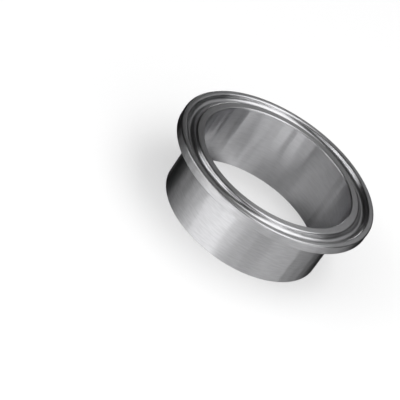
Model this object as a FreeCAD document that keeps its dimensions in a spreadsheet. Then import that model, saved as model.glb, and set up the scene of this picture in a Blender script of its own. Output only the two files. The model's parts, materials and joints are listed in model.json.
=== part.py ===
import FreeCAD, Part
import math
import os
import Sketcher

# Sanitary clamp ferrule on a short weld stub, turned from one piece of stainless steel.
# A thin round tube carries a flange with a flat sealing face, a round-bottomed gasket
# groove and a back that slopes towards the tube, where the jaws of a clamp pull on it.
# Millimetres. The axis is Z, the weld end lies on Z = 0 and the sealing face looks up +Z.
# The flange's radius is the bore's, plus the inner land, the groove and the outer land.
SIZES = [
    ("tube_diameter", 51.0, "outer diameter of the weld stub"),
    ("wall_thickness", 1.2, "wall of the weld stub"),
    ("overall_length", 21.5, "weld end to sealing face"),
    ("inner_land", 2.7, "width of the sealing face between bore and gasket groove"),
    ("groove_width", 3.0, "width of the gasket groove at the sealing face"),
    ("groove_depth", 1.35, "depth of the gasket groove, whose section is one arc"),
    ("outer_land", 2.0, "width of the sealing face between gasket groove and rim"),
    ("rim_height", 2.85, "straight edge of the flange along the axis"),
    ("back_taper", 20.0, "slope of the flange's back, in degrees from the sealing face"),
    ("neck_radius", 2.0, "hollow rounding between the sloping back and the stub"),
    ("groove_edge_radius", 0.8, "rounding along both edges of the gasket groove"),
    ("rim_front_radius", 0.5, "rounding of the rim towards the sealing face"),
    ("rim_back_radius", 0.35, "rounding of the rim towards the sloping back"),
    ("bore_edge_radius", 0.5, "rounding of the bore at the sealing face"),
    ("weld_edge_chamfer", 0.15, "deburred edges of the weld end"),
]
NODE = "ferrule"
POSITION_TOLERANCE = 1e-4

# What a sketch calls its own origin and axis, and the points of a line or circle
ORIGIN = -1
X_AXIS = -1
START = 1
END = 2
CENTRE = 3

doc = FreeCAD.newDocument("clamp_ferrule")


# The sheet of driving sizes
sheet = doc.addObject("Spreadsheet::Sheet", "Sizes")
for row, (alias, value, meaning) in enumerate(SIZES, start=1):
    sheet.set(f"A{row}", alias)
    sheet.set(f"B{row}", str(value))
    sheet.set(f"C{row}", meaning)
    sheet.setAlias(f"B{row}", alias)
doc.recompute()


# Radii and heights that follow from the driving sizes
tube_radius = sheet.tube_diameter / 2
bore_radius = tube_radius - sheet.wall_thickness
groove_inner_radius = bore_radius + sheet.inner_land
groove_outer_radius = groove_inner_radius + sheet.groove_width
flange_radius = groove_outer_radius + sheet.outer_land
rim_back_height = sheet.overall_length - sheet.rim_height
taper_angle = math.radians(sheet.back_taper)
neck_height = rim_back_height - (flange_radius - tube_radius) * math.tan(taper_angle)


# Small helpers for the sketches and edges
def new_section(body, name):
    planes = body.Origin.OriginFeatures
    plane = next(item for item in planes if item.Role == "XZ_Plane")
    sketch = body.newObject("Sketcher::SketchObject", name)
    sketch.AttachmentSupport = [(plane, "")]
    sketch.MapMode = "FlatFace"
    return sketch


def bind(sketch, name, formula, *constraint):
    index = sketch.addConstraint(Sketcher.Constraint(*constraint))
    sketch.renameConstraint(index, name)
    sketch.setExpression(f"Constraints.{name}", formula)


def circular_edges(feature, radius, height):
    names = []
    for number, edge in enumerate(feature.Shape.Edges, start=1):
        curve = edge.Curve
        if not isinstance(curve, Part.Circle):
            continue
        same_radius = abs(curve.Radius - radius) < POSITION_TOLERANCE
        same_height = abs(curve.Center.z - height) < POSITION_TOLERANCE
        if same_radius and same_height:
            names.append(f"Edge{number}")
    return names


def dress_edges(body, kind, name, size_property, alias, rings):
    base = body.Tip
    edges = []
    for radius, height in rings:
        edges += circular_edges(base, radius, height)
    if len(edges) != len(rings):
        raise RuntimeError(f"{name}: {len(edges)} edges found for {len(rings)} rings")
    dressing = body.newObject(kind, name)
    dressing.Base = (base, edges)
    dressing.setExpression(size_property, f"Sizes.{alias}")
    body.Tip = dressing
    doc.recompute()


# Ferrule body
body = doc.addObject("PartDesign::Body", "Ferrule")
body.Label = NODE
body.Placement = FreeCAD.Placement(FreeCAD.Vector(0, 0, 0), FreeCAD.Rotation())


# Turned section: weld end, stub, sloping back, rim, sealing face and bore, in that order
section = new_section(body, "Section")
corners = [
    FreeCAD.Vector(bore_radius, 0, 0),
    FreeCAD.Vector(tube_radius, 0, 0),
    FreeCAD.Vector(tube_radius, neck_height, 0),
    FreeCAD.Vector(flange_radius, rim_back_height, 0),
    FreeCAD.Vector(flange_radius, sheet.overall_length, 0),
    FreeCAD.Vector(bore_radius, sheet.overall_length, 0),
]
lines = []
for first, second in zip(corners, corners[1:] + corners[:1]):
    lines.append(section.addGeometry(Part.LineSegment(first, second), False))
weld_end, stub, back, rim, face, bore = lines

for line, following in zip(lines, lines[1:] + lines[:1]):
    section.addConstraint(Sketcher.Constraint("Coincident", line, END, following, START))
for line in (weld_end, face):
    section.addConstraint(Sketcher.Constraint("Horizontal", line))
for line in (stub, rim, bore):
    section.addConstraint(Sketcher.Constraint("Vertical", line))
section.addConstraint(Sketcher.Constraint("PointOnObject", weld_end, START, X_AXIS))

bind(section, "tube_radius", "Sizes.tube_diameter / 2",
     "DistanceX", ORIGIN, START, weld_end, END, tube_radius)
bind(section, "wall", "Sizes.wall_thickness",
     "DistanceX", weld_end, START, weld_end, END, sheet.wall_thickness)
bind(section, "face_width", "Sizes.inner_land + Sizes.groove_width + Sizes.outer_land",
     "DistanceX", face, END, face, START, flange_radius - bore_radius)
bind(section, "total_length", "Sizes.overall_length",
     "DistanceY", bore, END, bore, START, sheet.overall_length)
bind(section, "rim_edge", "Sizes.rim_height",
     "DistanceY", rim, START, rim, END, sheet.rim_height)
bind(section, "taper", "Sizes.back_taper * 1 deg",
     "Angle", X_AXIS, START, back, START, taper_angle)
doc.recompute()

turning = body.newObject("PartDesign::Revolution", "Turning")
turning.Profile = section
turning.ReferenceAxis = (section, ["V_Axis"])
turning.Angle = 360
body.Tip = turning
doc.recompute()
turned_volume = turning.Shape.Volume


# Gasket groove: an arc across its width, sunk into the sealing face all the way round
arc_radius = (sheet.groove_width ** 2 / 4 + sheet.groove_depth ** 2) / (2 * sheet.groove_depth)
arc_formula = "(Sizes.groove_width ^ 2 / 4 + Sizes.groove_depth ^ 2) / (2 * Sizes.groove_depth)"
centre_rise = arc_radius - sheet.groove_depth
arc_centre = FreeCAD.Vector(groove_inner_radius + sheet.groove_width / 2,
                            sheet.overall_length + centre_rise, 0)
inner_angle = math.atan2(-centre_rise, -sheet.groove_width / 2)
outer_angle = math.atan2(-centre_rise, sheet.groove_width / 2)
circle = Part.Circle(arc_centre, FreeCAD.Vector(0, 0, 1), arc_radius)

groove_section = new_section(body, "GrooveSection")
floor_arc = groove_section.addGeometry(
    Part.ArcOfCircle(circle, inner_angle, outer_angle), False)
mouth = groove_section.addGeometry(
    Part.LineSegment(FreeCAD.Vector(groove_inner_radius, sheet.overall_length, 0),
                     FreeCAD.Vector(groove_outer_radius, sheet.overall_length, 0)), False)
for arc_point, mouth_point in ((START, START), (END, END)):
    groove_section.addConstraint(
        Sketcher.Constraint("Coincident", floor_arc, arc_point, mouth, mouth_point))
groove_section.addConstraint(Sketcher.Constraint("Horizontal", mouth))
bind(groove_section, "width", "Sizes.groove_width",
     "DistanceX", mouth, START, mouth, END, sheet.groove_width)
bind(groove_section, "inner_radius",
     "Sizes.tube_diameter / 2 - Sizes.wall_thickness + Sizes.inner_land",
     "DistanceX", ORIGIN, START, mouth, START, groove_inner_radius)
bind(groove_section, "face_height", "Sizes.overall_length",
     "DistanceY", ORIGIN, START, mouth, START, sheet.overall_length)
bind(groove_section, "centre_height",
     f"Sizes.overall_length - Sizes.groove_depth + {arc_formula}",
     "DistanceY", ORIGIN, START, floor_arc, CENTRE, arc_centre.y)
doc.recompute()

gasket_groove = body.newObject("PartDesign::Groove", "GasketGroove")
gasket_groove.Profile = groove_section
gasket_groove.ReferenceAxis = (groove_section, ["V_Axis"])
gasket_groove.Angle = 360
gasket_groove.Reversed = False
body.Tip = gasket_groove
doc.recompute()
if gasket_groove.Shape.Volume >= turned_volume:
    raise RuntimeError("the gasket groove cuts nothing")


# Rounded and deburred edges
dress_edges(body, "PartDesign::Fillet", "Neck", "Radius", "neck_radius",
            [(tube_radius, neck_height)])
dress_edges(body, "PartDesign::Fillet", "GrooveEdges", "Radius", "groove_edge_radius",
            [(groove_inner_radius, sheet.overall_length),
             (groove_outer_radius, sheet.overall_length)])
dress_edges(body, "PartDesign::Fillet", "RimFront", "Radius", "rim_front_radius",
            [(flange_radius, sheet.overall_length)])
dress_edges(body, "PartDesign::Fillet", "RimBack", "Radius", "rim_back_radius",
            [(flange_radius, rim_back_height)])
dress_edges(body, "PartDesign::Fillet", "BoreEdge", "Radius", "bore_edge_radius",
            [(bore_radius, sheet.overall_length)])
dress_edges(body, "PartDesign::Chamfer", "WeldEdges", "Size", "weld_edge_chamfer",
            [(bore_radius, 0.0), (tube_radius, 0.0)])


# Soundness of the whole document, then the solid is written
failed = [item.Name for item in doc.Objects if {"Invalid", "Error"} & set(item.State)]
if failed:
    raise RuntimeError(f"objects that failed: {failed}")
if body.Shape.isNull() or not body.Shape.isValid() or len(body.Shape.Solids) != 1:
    raise RuntimeError("the ferrule is not one valid solid")

os.makedirs("parts", exist_ok=True)
body.Shape.exportStep(f"parts/{body.Label}.step")
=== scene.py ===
import json
import math

import bmesh
import bpy
from mathutils import Matrix, Vector


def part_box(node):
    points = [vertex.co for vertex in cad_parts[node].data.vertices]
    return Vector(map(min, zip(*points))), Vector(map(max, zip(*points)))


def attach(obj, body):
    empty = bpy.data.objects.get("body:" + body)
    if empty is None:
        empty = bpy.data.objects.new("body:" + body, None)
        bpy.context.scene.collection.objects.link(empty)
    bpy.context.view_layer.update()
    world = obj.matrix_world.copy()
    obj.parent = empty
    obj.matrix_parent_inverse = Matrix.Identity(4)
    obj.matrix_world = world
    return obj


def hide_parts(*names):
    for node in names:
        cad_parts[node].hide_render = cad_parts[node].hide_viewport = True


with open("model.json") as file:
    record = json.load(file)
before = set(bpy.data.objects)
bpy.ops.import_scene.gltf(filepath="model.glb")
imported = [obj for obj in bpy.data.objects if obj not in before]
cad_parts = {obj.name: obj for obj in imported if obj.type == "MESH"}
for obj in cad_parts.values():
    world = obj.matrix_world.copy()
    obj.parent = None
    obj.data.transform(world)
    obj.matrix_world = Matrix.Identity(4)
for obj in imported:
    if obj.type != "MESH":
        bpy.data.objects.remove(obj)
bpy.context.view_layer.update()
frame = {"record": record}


# Ferrule: a short stub of thin-walled stainless tube with a clamp flange, turned from one
# piece. The weld end is cut square, the flange's face carries a round-bottomed gasket groove
# between two flat lands, its back slopes to the tube, and every edge is broken.
MM = 0.001
mounts = {mount["name"]: mount for mount in frame["record"]["mounts"]}
BORE_RADIUS = mounts["bore"]["dims"]["r_mm"] * MM
STUB_RADIUS = mounts["stub_outside"]["dims"]["r_mm"] * MM
FLANGE_RADIUS = mounts["clamp_rim"]["dims"]["r_mm"] * MM
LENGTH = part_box("ferrule")[1].z
INNER_LAND = 2.7 * MM
GROOVE_WIDTH = 3.0 * MM
GROOVE_DEPTH = 1.35 * MM
GROOVE_EDGE_RADIUS = 0.8 * MM
RIM_HEIGHT = 2.85 * MM
RIM_FRONT_RADIUS = 0.5 * MM
RIM_BACK_RADIUS = 0.35 * MM
BORE_EDGE_RADIUS = 0.5 * MM
NECK_RADIUS = 2.0 * MM
WELD_EDGE = 0.15 * MM
BACK_TAPER = math.radians(20.0)
SQUARE = math.radians(90.0)
TURN_STEPS = 384
ARC_STEP = math.radians(4.0)
ROUNDING_STEPS = 16
RIM_BACK_STEPS = 12
BROKEN_EDGE_STEPS = 3
NEAR = 0.01 * MM


def arc(centre, radius, start, end):
    """Points along an arc in the plane of the section, from one angle to the other."""
    points = []
    steps = round(abs(end - start) / ARC_STEP)
    for step in range(steps + 1):
        angle = start + (end - start) * step / steps
        points.append(centre + radius * Vector((math.cos(angle), math.sin(angle))))
    return points


def groove_outline(middle):
    """The gasket groove across its width: a rounded edge, the round floor, a rounded edge."""
    floor_radius = (GROOVE_WIDTH ** 2 / 4 + GROOVE_DEPTH ** 2) / (2 * GROOVE_DEPTH)
    floor_centre = Vector((middle, LENGTH - GROOVE_DEPTH + floor_radius))
    drop = floor_centre.y - (LENGTH - GROOVE_EDGE_RADIUS)
    reach = math.sqrt((floor_radius + GROOVE_EDGE_RADIUS) ** 2 - drop ** 2)
    lean = math.atan2(drop, reach)
    inner = arc(Vector((middle - reach, LENGTH - GROOVE_EDGE_RADIUS)), GROOVE_EDGE_RADIUS, SQUARE, lean)
    floor = arc(floor_centre, floor_radius, math.pi + lean, 2 * math.pi - lean)
    outer = arc(Vector((middle + reach, LENGTH - GROOVE_EDGE_RADIUS)), GROOVE_EDGE_RADIUS,
                math.pi - lean, SQUARE)
    return inner + floor[1:] + outer[1:]


def round_ring(mesh, radius, height, edge_radius, turn, steps):
    """Rounds the sharp ring at that radius and height, where the section turns by that angle."""
    ring = []
    for edge in mesh.edges:
        ends = [Vector((vert.co.xy.length - radius, vert.co.z - height)) for vert in edge.verts]
        if all(end.length < NEAR for end in ends):
            ring.append(edge)
    bmesh.ops.bevel(mesh, geom=ring, offset=edge_radius * math.tan(turn / 2), offset_type="OFFSET",
                    segments=steps, profile=0.5, affect="EDGES", material=-1)


rim_back_height = LENGTH - RIM_HEIGHT
neck_height = rim_back_height - (FLANGE_RADIUS - STUB_RADIUS) * math.tan(BACK_TAPER)
groove_middle = BORE_RADIUS + INNER_LAND + GROOVE_WIDTH / 2
outline = [
    Vector((BORE_RADIUS, 0.0)),
    Vector((BORE_RADIUS, LENGTH)),
    *groove_outline(groove_middle),
    Vector((FLANGE_RADIUS, LENGTH)),
    Vector((FLANGE_RADIUS, rim_back_height)),
    Vector((STUB_RADIUS, neck_height)),
    Vector((STUB_RADIUS, 0.0)),
]
turned = bmesh.new()
corners = [turned.verts.new((point.x, 0.0, point.y)) for point in outline]
for first, second in zip(corners, corners[1:] + corners[:1]):
    turned.edges.new((first, second))
bmesh.ops.spin(turned, geom=turned.verts[:] + turned.edges[:], cent=(0, 0, 0), axis=(0, 0, 1),
               dvec=(0, 0, 0), angle=2 * math.pi, steps=TURN_STEPS, use_merge=True)
round_ring(turned, BORE_RADIUS, LENGTH, BORE_EDGE_RADIUS, SQUARE, ROUNDING_STEPS)
round_ring(turned, FLANGE_RADIUS, LENGTH, RIM_FRONT_RADIUS, SQUARE, ROUNDING_STEPS)
round_ring(turned, FLANGE_RADIUS, rim_back_height, RIM_BACK_RADIUS, SQUARE - BACK_TAPER, RIM_BACK_STEPS)
round_ring(turned, STUB_RADIUS, neck_height, NECK_RADIUS, SQUARE - BACK_TAPER, ROUNDING_STEPS)
round_ring(turned, STUB_RADIUS, 0.0, WELD_EDGE, SQUARE, BROKEN_EDGE_STEPS)
round_ring(turned, BORE_RADIUS, 0.0, WELD_EDGE, SQUARE, BROKEN_EDGE_STEPS)
bmesh.ops.remove_doubles(turned, verts=turned.verts[:], dist=NEAR / 10)
bmesh.ops.recalc_face_normals(turned, faces=turned.faces[:])
for face in turned.faces:
    face.smooth = True

ferrule_mesh = bpy.data.meshes.new("ferrule_turned")
turned.to_mesh(ferrule_mesh)
turned.free()
ferrule = bpy.data.objects.new("ferrule_turned", ferrule_mesh)
bpy.context.scene.collection.objects.link(ferrule)
flatten = ferrule.modifiers.new("flat_lands", "WEIGHTED_NORMAL")
flatten.mode = "FACE_AREA"
flatten.weight = 100
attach(ferrule, "root")
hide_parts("ferrule")


# Bare stainless steel in three finishes: fine turned on the flange's face, brushed on the stub
# and rim, and drawn in the bore, where slight waves run along the tube. The lay runs round the
# axis, so highlights stretch across it, and the grit leaves fine short lines along it.
STEEL = "CACACC"
# Real grit lines are under 0.1 mm apart, and are drawn coarser so that they show
GRIT_SPACING = 0.5 * MM
GRIT_STRETCH = 6.0
GRIT_RELIEF = 0.4
TOOL_MARK_SPACING = 0.9 * MM
TOOL_MARK_SHARE = 1.5
RELIEF_DEPTH = 0.02 * MM
WAVE_SPACING = 5.0 * MM
SMUDGE_SPACING = 9.0 * MM
STREAK_STRETCH = 8.0
FLANGE_START = 15.2 * MM


def linear_colour(hex_colour):
    """An sRGB hex colour as linear red, green, blue and an alpha of 1."""
    channels = [int(hex_colour[place:place + 2], 16) / 255 for place in (0, 2, 4)]
    linear = [c / 12.92 if c <= 0.04045 else ((c + 0.055) / 1.055) ** 2.4 for c in channels]
    return (*linear, 1.0)


def add_node(tree, kind, settings, **links):
    """Adds a node, sets its properties or sockets, and links the named sockets."""
    node = tree.nodes.new(kind)
    for name, value in settings.items():
        if name in node.inputs:
            node.inputs[name].default_value = value
        else:
            setattr(node, name, value)
    for name, source in links.items():
        socket = node.inputs[int(name[1:])] if name[0] == "_" else node.inputs[name.replace("_", " ")]
        tree.links.new(source, socket)
    return node


def steel_finish(name, smooth, rough, lay, wave_height, grain):
    """Steel by its range of roughness, how far the lay stretches light, its waves and its grain."""
    steel = bpy.data.materials.new(name)
    steel.use_nodes = True
    tree = steel.node_tree
    tree.nodes.clear()
    place = add_node(tree, "ShaderNodeTexCoord", {}).outputs["Object"]
    axes = add_node(tree, "ShaderNodeSeparateXYZ", {}, Vector=place)
    across = add_node(tree, "ShaderNodeCombineXYZ", {}, X=axes.outputs["X"], Y=axes.outputs["Y"])
    radius = add_node(tree, "ShaderNodeVectorMath", {"operation": "LENGTH"}, _0=across.outputs[0])
    section_place = add_node(tree, "ShaderNodeCombineXYZ", {}, X=radius.outputs["Value"],
                             Z=axes.outputs["Z"])
    round_axis = add_node(tree, "ShaderNodeVectorMath", {"operation": "CROSS_PRODUCT"},
                          _1=across.outputs[0])
    round_axis.inputs[0].default_value = (0.0, 0.0, 1.0)
    facing = add_node(tree, "ShaderNodeNewGeometry", {}).outputs["Normal"]
    across_lay = add_node(tree, "ShaderNodeVectorMath", {"operation": "CROSS_PRODUCT"},
                          _0=round_axis.outputs[0], _1=facing)
    stretch = add_node(tree, "ShaderNodeVectorMath", {"operation": "NORMALIZE"},
                       _0=across_lay.outputs[0])
    turn = add_node(tree, "ShaderNodeTexGradient", {"gradient_type": "RADIAL"}, Vector=place)
    way_round = add_node(tree, "ShaderNodeMath", {"operation": "MULTIPLY"}, _0=turn.outputs["Fac"])
    way_round.inputs[1].default_value = 2 * math.pi * STUB_RADIUS / GRIT_STRETCH
    lay_place = add_node(tree, "ShaderNodeCombineXYZ", {}, X=radius.outputs["Value"],
                         Y=way_round.outputs[0], Z=axes.outputs["Z"])
    grit = add_node(tree, "ShaderNodeTexNoise",
                    {"Scale": 1 / GRIT_SPACING, "Detail": 0.5, "Roughness": 0.5},
                    Vector=lay_place.outputs[0])
    shade = add_node(tree, "ShaderNodeMapRange",
                     {"From Min": 0.3, "From Max": 0.7, "To Min": 1 - grain, "To Max": 1 + grain},
                     Value=grit.outputs["Fac"])
    tint = add_node(tree, "ShaderNodeHueSaturation", {"Color": linear_colour(STEEL)},
                    Value=shade.outputs["Result"])
    marks = add_node(tree, "ShaderNodeTexNoise",
                     {"Scale": 1 / TOOL_MARK_SPACING, "Detail": 1.0},
                     Vector=section_place.outputs[0])
    relief = add_node(tree, "ShaderNodeMath", {"operation": "MULTIPLY_ADD"},
                      _0=marks.outputs["Fac"], _2=grit.outputs["Fac"])
    relief.inputs[1].default_value = TOOL_MARK_SHARE
    along = add_node(tree, "ShaderNodeMapping", {"Scale": (1.0, 1.0, 1 / STREAK_STRETCH)}, Vector=place)
    waves = add_node(tree, "ShaderNodeTexNoise", {"Scale": 1 / WAVE_SPACING, "Detail": 1.0},
                     Vector=along.outputs[0])
    wavy = add_node(tree, "ShaderNodeBump", {"Strength": 1.0, "Distance": wave_height},
                    Height=waves.outputs["Fac"])
    bump = add_node(tree, "ShaderNodeBump", {"Strength": GRIT_RELIEF, "Distance": RELIEF_DEPTH},
                    Height=relief.outputs[0], Normal=wavy.outputs["Normal"])
    smudges = add_node(tree, "ShaderNodeTexNoise", {"Scale": 1 / SMUDGE_SPACING, "Detail": 3.0},
                       Vector=along.outputs[0])
    gloss = add_node(tree, "ShaderNodeMapRange",
                     {"From Min": 0.3, "From Max": 0.7, "To Min": smooth, "To Max": rough},
                     Value=smudges.outputs["Fac"])
    surface = add_node(tree, "ShaderNodeBsdfPrincipled",
                       {"Metallic": 1.0, "Anisotropic": lay}, Base_Color=tint.outputs["Color"],
                       Roughness=gloss.outputs["Result"], Normal=bump.outputs["Normal"],
                       Tangent=stretch.outputs[0])
    add_node(tree, "ShaderNodeOutputMaterial", {}, Surface=surface.outputs["BSDF"])
    return steel


# Turned face: the sharpest reflections. Below a roughness of 0.275 the groove renders mottled
ferrule.data.materials.append(steel_finish("stainless_steel_fine_turned", smooth=0.275, rough=0.29,
                                           lay=0.75, wave_height=0.05 * MM, grain=0.05))
# Brushed tube and rim: satin, with soft bands along the tube
ferrule.data.materials.append(steel_finish("stainless_steel_brushed", smooth=0.30, rough=0.36,
                                           lay=1.0, wave_height=0.35 * MM, grain=0.06))
# Drawn bore: as satin as the tube, and wavier, which breaks its bands into streaks
ferrule.data.materials.append(steel_finish("stainless_steel_drawn", smooth=0.30, rough=0.36,
                                           lay=1.0, wave_height=0.7 * MM, grain=0.04))
BRUSHED = 1
DRAWN = 2
for face in ferrule.data.polygons:
    radius = face.center.xy.length
    if radius < BORE_RADIUS + NEAR:
        face.material_index = DRAWN
    elif face.center.z < FLANGE_START or radius > FLANGE_RADIUS - NEAR:
        face.material_index = BRUSHED


# Floor: one sheet of plain white board under the ferrule, which takes its soft shadow. To the
# camera it is lifted a little near the ferrule and wholly white far off, past the lamps' light.
# The bare metal sees the tent in its place.
FLOOR_WIDTH = 4.0
FLOOR_COLOUR = "F4F4F4"
NEAR_GLOW = 0.3
GLOW_START = 0.2
GLOW_FULL = 0.9
floor_shape = bmesh.new()
bmesh.ops.create_grid(floor_shape, x_segments=1, y_segments=1, size=FLOOR_WIDTH / 2)
floor_mesh = bpy.data.meshes.new("floor")
floor_shape.to_mesh(floor_mesh)
floor_shape.free()
floor = bpy.data.objects.new("floor", floor_mesh)
bpy.context.scene.collection.objects.link(floor)
floor.visible_glossy = False


def seen_rays(tree):
    """1 for the rays that show the background: the camera's, reflected and refracted ones."""
    rays = add_node(tree, "ShaderNodeLightPath", {})
    direct = add_node(tree, "ShaderNodeMath", {"operation": "MAXIMUM"},
                      _0=rays.outputs["Is Camera Ray"], _1=rays.outputs["Is Glossy Ray"])
    return add_node(tree, "ShaderNodeMath", {"operation": "MAXIMUM"},
                    _0=direct.outputs[0], _1=rays.outputs["Is Transmission Ray"])


board = bpy.data.materials.new("white_board")
board.use_nodes = True
tree = board.node_tree
tree.nodes.clear()
place = add_node(tree, "ShaderNodeTexCoord", {}).outputs["Object"]
distance = add_node(tree, "ShaderNodeVectorMath", {"operation": "LENGTH"}, _0=place)
fade = add_node(tree, "ShaderNodeMapRange",
                {"From Min": GLOW_START, "From Max": GLOW_FULL, "To Min": NEAR_GLOW, "To Max": 1.0},
                Value=distance.outputs["Value"])
share = add_node(tree, "ShaderNodeMath", {"operation": "MULTIPLY"}, _0=fade.outputs["Result"],
                 _1=seen_rays(tree).outputs[0])
matt = add_node(tree, "ShaderNodeBsdfDiffuse", {"Color": linear_colour(FLOOR_COLOUR)})
glow = add_node(tree, "ShaderNodeEmission", {"Strength": 1.0})
mix = add_node(tree, "ShaderNodeMixShader", {}, _0=share.outputs[0], _1=matt.outputs[0],
               _2=glow.outputs[0])
add_node(tree, "ShaderNodeOutputMaterial", {}, Surface=mix.outputs[0])
floor.data.materials.append(board)


# Tent: glowing paper in a ball round the ferrule, almost black above and graduated below, with painted
# light in front and painted shade behind, so that the bare metal has light and dark to reflect. A small
# glowing card lies in the bore, with painted shade at the back and left and painted light at the front
# and right. Only the metal sees them, and it sees them in place of the floor.
TENT_RADIUS = 0.7
BALL_SIDES = 48
BALL_RINGS = 24
CARD_SIDES = 72
FIRST_SIDE = 180
FULL_TURN = 360
TENT_TONE = 0.01
LOWER_BRIGHTNESS = 1.73
# Tones of the lower tent by side: painted light in front and painted shade behind, seen by the metal in
# place of the floor
LOWER_PAINTED_TONES = [(180, 0.18), (190, 0.26), (200, 0.37), (212, 0.58), (225, 0.82), (237, 0.95), (255, 0.9),
               (268, 0.66), (286, 0.34), (330, 0.36), (350, 0.3), (378, 0.28), (392, 0.2), (402, 0.0),
               (428, 0.0), (438, 0.18), (468, 0.18), (480, 0.01), (508, 0.0), (517, 0.07), (540, 0.18)]
CARD_HEIGHT = 0.1 * MM
CARD_BRIGHTNESS = 1.77
# Tones of the bore card by side: painted shade at the back and left, painted light at the front and
# right, as on the floor in the bore
CARD_PAINTED_TONES = [(180, 0.1), (215, 0.12), (245, 0.3), (268, 0.9), (300, 1.0), (345, 1.0), (382, 0.7),
              (400, 0.05), (424, 0.0), (437, 0.18), (462, 0.24), (479, 0.48), (494, 0.04), (510, 0.0),
              (540, 0.1)]


def paper(name, brightness, tones):
    """Paper that glows evenly, or by tones given for sides in degrees round the axis."""
    sheet = bpy.data.materials.new(name)
    sheet.use_nodes = True
    tree = sheet.node_tree
    tree.nodes.clear()
    place = add_node(tree, "ShaderNodeTexCoord", {}).outputs["Object"]
    side = add_node(tree, "ShaderNodeTexGradient", {"gradient_type": "RADIAL"}, Vector=place)
    ramp = add_node(tree, "ShaderNodeValToRGB", {}, Fac=side.outputs["Fac"])
    stops = ramp.color_ramp.elements
    for degrees, tone in tones[1:-1]:
        stops.new((degrees - FIRST_SIDE) / FULL_TURN).color = (tone, tone, tone, 1.0)
    stops[0].color = (tones[0][1], tones[0][1], tones[0][1], 1.0)
    stops[-1].color = (tones[-1][1], tones[-1][1], tones[-1][1], 1.0)
    light = add_node(tree, "ShaderNodeEmission", {"Strength": brightness}, Color=ramp.outputs["Color"])
    add_node(tree, "ShaderNodeOutputMaterial", {}, Surface=light.outputs[0])
    sheet.cycles.emission_sampling = "NONE"
    return sheet


def hang_paper(name, shape, sheet):
    """Puts up a piece of paper that only the metal sees."""
    mesh = bpy.data.meshes.new(name)
    shape.to_mesh(mesh)
    shape.free()
    mesh.materials.append(sheet)
    piece = bpy.data.objects.new(name, mesh)
    bpy.context.scene.collection.objects.link(piece)
    piece.visible_camera = False
    piece.visible_diffuse = False
    piece.visible_shadow = False
    piece.visible_transmission = False


def half_ball(radius, upper):
    """The upper or the lower half of a ball."""
    ball = bmesh.new()
    bmesh.ops.create_uvsphere(ball, u_segments=BALL_SIDES, v_segments=BALL_RINGS, radius=radius)
    other = [vert for vert in ball.verts if (vert.co.z < -NEAR if upper else vert.co.z > NEAR)]
    bmesh.ops.delete(ball, geom=other, context="VERTS")
    return ball


card_shape = bmesh.new()
bmesh.ops.create_circle(card_shape, cap_ends=True, segments=CARD_SIDES, radius=BORE_RADIUS)
bmesh.ops.translate(card_shape, verts=card_shape.verts[:], vec=(0, 0, CARD_HEIGHT))
hang_paper("bore_card_painted_light", card_shape, paper("bore_card_painted_light", CARD_BRIGHTNESS, CARD_PAINTED_TONES))
hang_paper("tent_above", half_ball(TENT_RADIUS, True),
           paper("black_paper", 1.0, [(FIRST_SIDE, TENT_TONE), (FIRST_SIDE + FULL_TURN, TENT_TONE)]))
hang_paper("tent_below", half_ball(TENT_RADIUS, False),
           paper("painted_floor_light_and_shade", LOWER_BRIGHTNESS, LOWER_PAINTED_TONES))


# Soft boxes: a large one overhead, smaller ones and strips round the ferrule. Each stands
# square to it, inside the tent and out of the picture.
BOX_DISTANCE = 0.6


def soft_box(name, side, rise, across, up, brightness):
    """An area lamp at that side and rise, as wide and as high as those angles, in degrees."""
    side, rise = math.radians(side), math.radians(rise)
    toward = Vector((math.cos(rise) * math.cos(side), math.cos(rise) * math.sin(side), math.sin(rise)))
    lamp = bpy.data.lights.new(name, "AREA")
    lamp.shape = "RECTANGLE"
    lamp.size = 2 * BOX_DISTANCE * math.tan(math.radians(across / 2))
    lamp.size_y = 2 * BOX_DISTANCE * math.tan(math.radians(up / 2))
    lamp.energy = brightness * math.pi * lamp.size * lamp.size_y
    box = bpy.data.objects.new(name, lamp)
    turn = (-toward).to_track_quat("-Z", "Y").to_matrix().to_4x4()
    box.matrix_world = Matrix.Translation(toward * BOX_DISTANCE) @ turn
    box.visible_camera = False
    bpy.context.scene.collection.objects.link(box)


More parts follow.
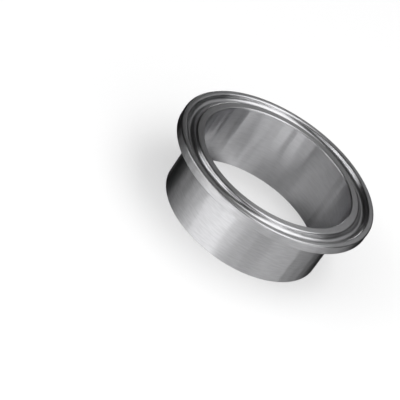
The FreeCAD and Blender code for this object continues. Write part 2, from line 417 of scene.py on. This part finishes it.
soft_box("overhead_box", 16, 71, 61, 37, 1.8)
soft_box("right_strip", 338, 28, 89, 4, 2.5)
soft_box("left_box", 205, 32, 50, 16, 2.05)
soft_box("front_box", 275, 13, 46, 11, 3.0)
soft_box("right_box", 335, 8, 37, 14, 1.85)
soft_box("back_spot", 84, 13, 14, 5, 0.85)
soft_box("back_strip", 107, 6, 11, 6, 3.8)
soft_box("front_right_box", 308, 40, 19, 42, 0.9)
soft_box("left_strip", 190, 44, 19, 4, 3.1)
soft_box("back_box", 70, 37, 42, 17, 0.37)
soft_box("front_left_box", 233, 42, 32, 12, 2.03)


# Room: the white walls of the studio round it all. They are plain white where the camera or a
# reflection sees them, and give an even fill light, softer than the boxes, to what they light.
FILL = 0.57
world = bpy.data.worlds.new("studio")
bpy.context.scene.world = world
world.use_nodes = True
tree = world.node_tree
tree.nodes.clear()
brightness = add_node(tree, "ShaderNodeMapRange", {"To Min": FILL, "To Max": 1.0},
                      Value=seen_rays(tree).outputs[0])
room = add_node(tree, "ShaderNodeBackground", {"Color": (1.0, 1.0, 1.0, 1.0)},
                Strength=brightness.outputs["Result"])
add_node(tree, "ShaderNodeOutputWorld", {}, Surface=room.outputs[0])


# Camera: a long lens 0.6 m off, looking down onto the sealing face. It is rolled, which
# leans the ferrule as in the photograph, and aimed beside it, which puts it right of the middle.
LENS = 180.0
SENSOR = 36.0
CAMERA_PLACE = Vector((0.0, -499.0, 309.17)) * MM
AIM = Vector((-13.29, 0.0, -3.3)) * MM
ROLL = math.radians(34.52)
camera_data = bpy.data.cameras.new("camera")
camera_data.lens = LENS
camera_data.sensor_width = SENSOR
camera_data.clip_start = 0.01
camera = bpy.data.objects.new("camera", camera_data)
turn = (AIM - CAMERA_PLACE).to_track_quat("-Z", "Y").to_matrix().to_4x4()
camera.matrix_world = Matrix.Translation(CAMERA_PLACE) @ turn @ Matrix.Rotation(ROLL, 4, "Z")
bpy.context.scene.collection.objects.link(camera)
bpy.context.scene.camera = camera
bpy.context.scene.view_settings.view_transform = "Standard"
